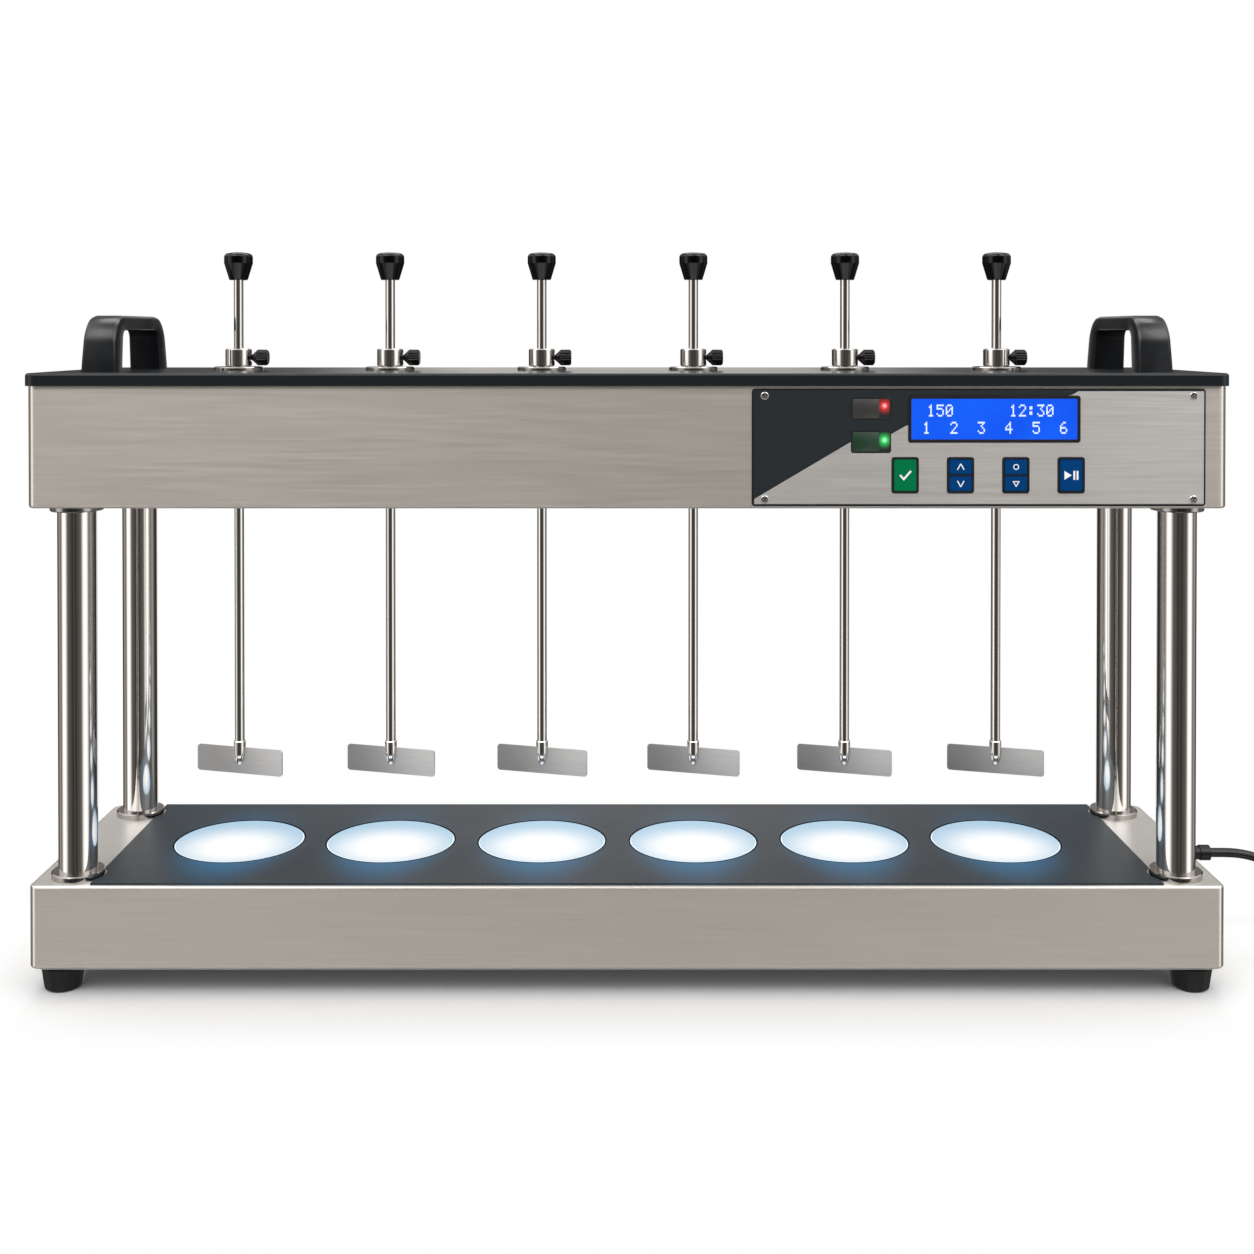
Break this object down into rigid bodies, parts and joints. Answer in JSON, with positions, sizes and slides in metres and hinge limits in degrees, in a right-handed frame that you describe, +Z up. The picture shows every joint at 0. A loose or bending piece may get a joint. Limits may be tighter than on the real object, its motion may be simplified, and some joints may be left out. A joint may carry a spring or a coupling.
{
  "type": "jar tester",
  "caption": "Bench jar tester with a lit base, tubular posts, a belt-driven stirring head, lifting paddles and a keyed control panel with a display.",
  "frame": {"origin": "floor centre under the base", "axes": "+X to the control panel's side, -Y to the front, +Z up"},
  "size_m": [1.1781, 0.2115, 0.5865],
  "materials": {
    "housing_steel": "brushed",
    "panel_steel": "brushed",
    "polished_steel": "polished",
    "blade_steel": "satin",
    "zinc_steel": "satin",
    "lid_paint": "satin",
    "deck_paint": "satin",
    "handle_plastic": "fine texture",
    "frame_plastic": "satin",
    "knob_plastic": "gloss",
    "thumb_plastic": "satin",
    "rubber": "matte",
    "belt_rubber": "matte",
    "cord_rubber": "satin",
    "window_opal": "lit opal",
    "cup_white": "satin",
    "board_white": "satin",
    "board_green": "satin",
    "supply_metal": "satin",
    "motor_metal": "satin",
    "pulley_metal": "turned",
    "display_blue": "lit",
    "smoked_window": "gloss",
    "lamp_lens": "lit",
    "key_green": "satin",
    "key_blue": "satin"
  },
  "bodies": {
    "stand": {"base_housing": "housing_steel", "base_cover": "zinc_steel", "deck_plate": "deck_paint", "light_windows": "window_opal", "light_cups": "cup_white", "light_boards": "board_white", "feet": "rubber", "posts": "polished_steel", "post_flanges": "polished_steel", "tie_rods": "zinc_steel", "power_supply": "supply_metal", "head_housing": "housing_steel", "lid": "lid_paint", "carry_handles": "handle_plastic", "bearing_flanges": "polished_steel", "spindle_bearings": "zinc_steel", "control_panel": "panel_steel", "panel_frame": "frame_plastic", "panel_screws": "zinc_steel", "display_screen": "display_blue", "indicator_windows": "smoked_window", "indicator_lamps": "lamp_lens", "control_board": "board_green", "drive_motor": "motor_metal", "drive_belt": "belt_rubber", "cord_gland": "cord_rubber", "power_cord": "cord_rubber", "cord_coil": "cord_rubber", "mains_plug": "cord_rubber"},
    "drive_pulley": {"motor_pulley": "pulley_metal"},
    "spindle_body_1": {"spindle_1": "polished_steel"},
    "stirrer_body_1": {"paddle_1": "blade_steel", "knob_1": "knob_plastic"},
    "clamp_body_1": {"thumb_screw_1": "thumb_plastic"},
    "spindle_body_2": {"spindle_2": "polished_steel"},
    "stirrer_body_2": {"paddle_2": "blade_steel", "knob_2": "knob_plastic"},
    "clamp_body_2": {"thumb_screw_2": "thumb_plastic"},
    "spindle_body_3": {"spindle_3": "polished_steel"},
    "stirrer_body_3": {"paddle_3": "blade_steel", "knob_3": "knob_plastic"},
    "clamp_body_3": {"thumb_screw_3": "thumb_plastic"},
    "spindle_body_4": {"spindle_4": "polished_steel"},
    "stirrer_body_4": {"paddle_4": "blade_steel", "knob_4": "knob_plastic"},
    "clamp_body_4": {"thumb_screw_4": "thumb_plastic"},
    "spindle_body_5": {"spindle_5": "polished_steel"},
    "stirrer_body_5": {"paddle_5": "blade_steel", "knob_5": "knob_plastic"},
    "clamp_body_5": {"thumb_screw_5": "thumb_plastic"},
    "spindle_body_6": {"spindle_6": "polished_steel"},
    "stirrer_body_6": {"paddle_6": "blade_steel", "knob_6": "knob_plastic"},
    "clamp_body_6": {"thumb_screw_6": "thumb_plastic"},
    "ok_key_body": {"ok_key": "key_green"},
    "speed_up_key_body": {"speed_up_key": "key_blue"},
    "speed_down_key_body": {"speed_down_key": "key_blue"},
    "menu_up_key_body": {"menu_up_key": "key_blue"},
    "menu_down_key_body": {"menu_down_key": "key_blue"},
    "start_key_body": {"start_key": "key_blue"}
  },
  "joints": [
    {"name": "spin_1", "type": "hinge", "parent": "stand", "child": "spindle_body_1", "pos_m": [-0.328, 0, 0.44], "axis": [0, 0, 1], "continuous": true},
    {"name": "spin_2", "type": "hinge", "parent": "stand", "child": "spindle_body_2", "pos_m": [-0.2, 0, 0.44], "axis": [0, 0, 1], "continuous": true},
    {"name": "spin_3", "type": "hinge", "parent": "stand", "child": "spindle_body_3", "pos_m": [-0.072, 0, 0.44], "axis": [0, 0, 1], "continuous": true},
    {"name": "spin_4", "type": "hinge", "parent": "stand", "child": "spindle_body_4", "pos_m": [0.056, 0, 0.44], "axis": [0, 0, 1], "continuous": true},
    {"name": "spin_5", "type": "hinge", "parent": "stand", "child": "spindle_body_5", "pos_m": [0.184, 0, 0.44], "axis": [0, 0, 1], "continuous": true},
    {"name": "spin_6", "type": "hinge", "parent": "stand", "child": "spindle_body_6", "pos_m": [0.312, 0, 0.44], "axis": [0, 0, 1], "continuous": true},
    {"name": "motor_spin", "type": "hinge", "parent": "stand", "child": "drive_pulley", "pos_m": [-0.396, 0, 0.44], "axis": [0, 0, 1], "continuous": true},
    {"name": "lift_1", "type": "slide", "parent": "spindle_body_1", "child": "stirrer_body_1", "axis": [0, 0, 1], "range_m": [-0.05, 0.19]},
    {"name": "lift_2", "type": "slide", "parent": "spindle_body_2", "child": "stirrer_body_2", "axis": [0, 0, 1], "range_m": [-0.05, 0.19]},
    {"name": "lift_3", "type": "slide", "parent": "spindle_body_3", "child": "stirrer_body_3", "axis": [0, 0, 1], "range_m": [-0.05, 0.19]},
    {"name": "lift_4", "type": "slide", "parent": "spindle_body_4", "child": "stirrer_body_4", "axis": [0, 0, 1], "range_m": [-0.05, 0.19]},
    {"name": "lift_5", "type": "slide", "parent": "spindle_body_5", "child": "stirrer_body_5", "axis": [0, 0, 1], "range_m": [-0.05, 0.19]},
    {"name": "lift_6", "type": "slide", "parent": "spindle_body_6", "child": "stirrer_body_6", "axis": [0, 0, 1], "range_m": [-0.05, 0.19]},
    {"name": "clamp_1", "type": "hinge", "parent": "spindle_body_1", "child": "clamp_body_1", "pos_m": [-0.328, 0, 0.49765], "axis": [1, 0, 0], "range_deg": [0, 540]},
    {"name": "clamp_2", "type": "hinge", "parent": "spindle_body_2", "child": "clamp_body_2", "pos_m": [-0.2, 0, 0.49765], "axis": [1, 0, 0], "range_deg": [0, 540]},
    {"name": "clamp_3", "type": "hinge", "parent": "spindle_body_3", "child": "clamp_body_3", "pos_m": [-0.072, 0, 0.49765], "axis": [1, 0, 0], "range_deg": [0, 540]},
    {"name": "clamp_4", "type": "hinge", "parent": "spindle_body_4", "child": "clamp_body_4", "pos_m": [0.056, 0, 0.49765], "axis": [1, 0, 0], "range_deg": [0, 540]},
    {"name": "clamp_5", "type": "hinge", "parent": "spindle_body_5", "child": "clamp_body_5", "pos_m": [0.184, 0, 0.49765], "axis": [1, 0, 0], "range_deg": [0, 540]},
    {"name": "clamp_6", "type": "hinge", "parent": "spindle_body_6", "child": "clamp_body_6", "pos_m": [0.312, 0, 0.49765], "axis": [1, 0, 0], "range_deg": [0, 540]},
    {"name": "ok_key_press", "type": "slide", "parent": "stand", "child": "ok_key_body", "axis": [0, 1, 0], "range_m": [0, 0.001], "stiffness_N_per_m": 400},
    {"name": "speed_up_key_press", "type": "slide", "parent": "stand", "child": "speed_up_key_body", "axis": [0, 1, 0], "range_m": [0, 0.001], "stiffness_N_per_m": 400},
    {"name": "speed_down_key_press", "type": "slide", "parent": "stand", "child": "speed_down_key_body", "axis": [0, 1, 0], "range_m": [0, 0.001], "stiffness_N_per_m": 400},
    {"name": "menu_up_key_press", "type": "slide", "parent": "stand", "child": "menu_up_key_body", "axis": [0, 1, 0], "range_m": [0, 0.001], "stiffness_N_per_m": 400},
    {"name": "menu_down_key_press", "type": "slide", "parent": "stand", "child": "menu_down_key_body", "axis": [0, 1, 0], "range_m": [0, 0.001], "stiffness_N_per_m": 400},
    {"name": "start_key_press", "type": "slide", "parent": "stand", "child": "start_key_body", "axis": [0, 1, 0], "range_m": [0, 0.001], "stiffness_N_per_m": 400}
  ],
  "couplings": [
    {"joint": "spin_2", "follows": "spin_1", "ratio": 1},
    {"joint": "spin_3", "follows": "spin_1", "ratio": 1},
    {"joint": "spin_4", "follows": "spin_1", "ratio": 1},
    {"joint": "spin_5", "follows": "spin_1", "ratio": 1},
    {"joint": "spin_6", "follows": "spin_1", "ratio": 1},
    {"joint": "motor_spin", "follows": "spin_1", "ratio": 1}
  ]
}
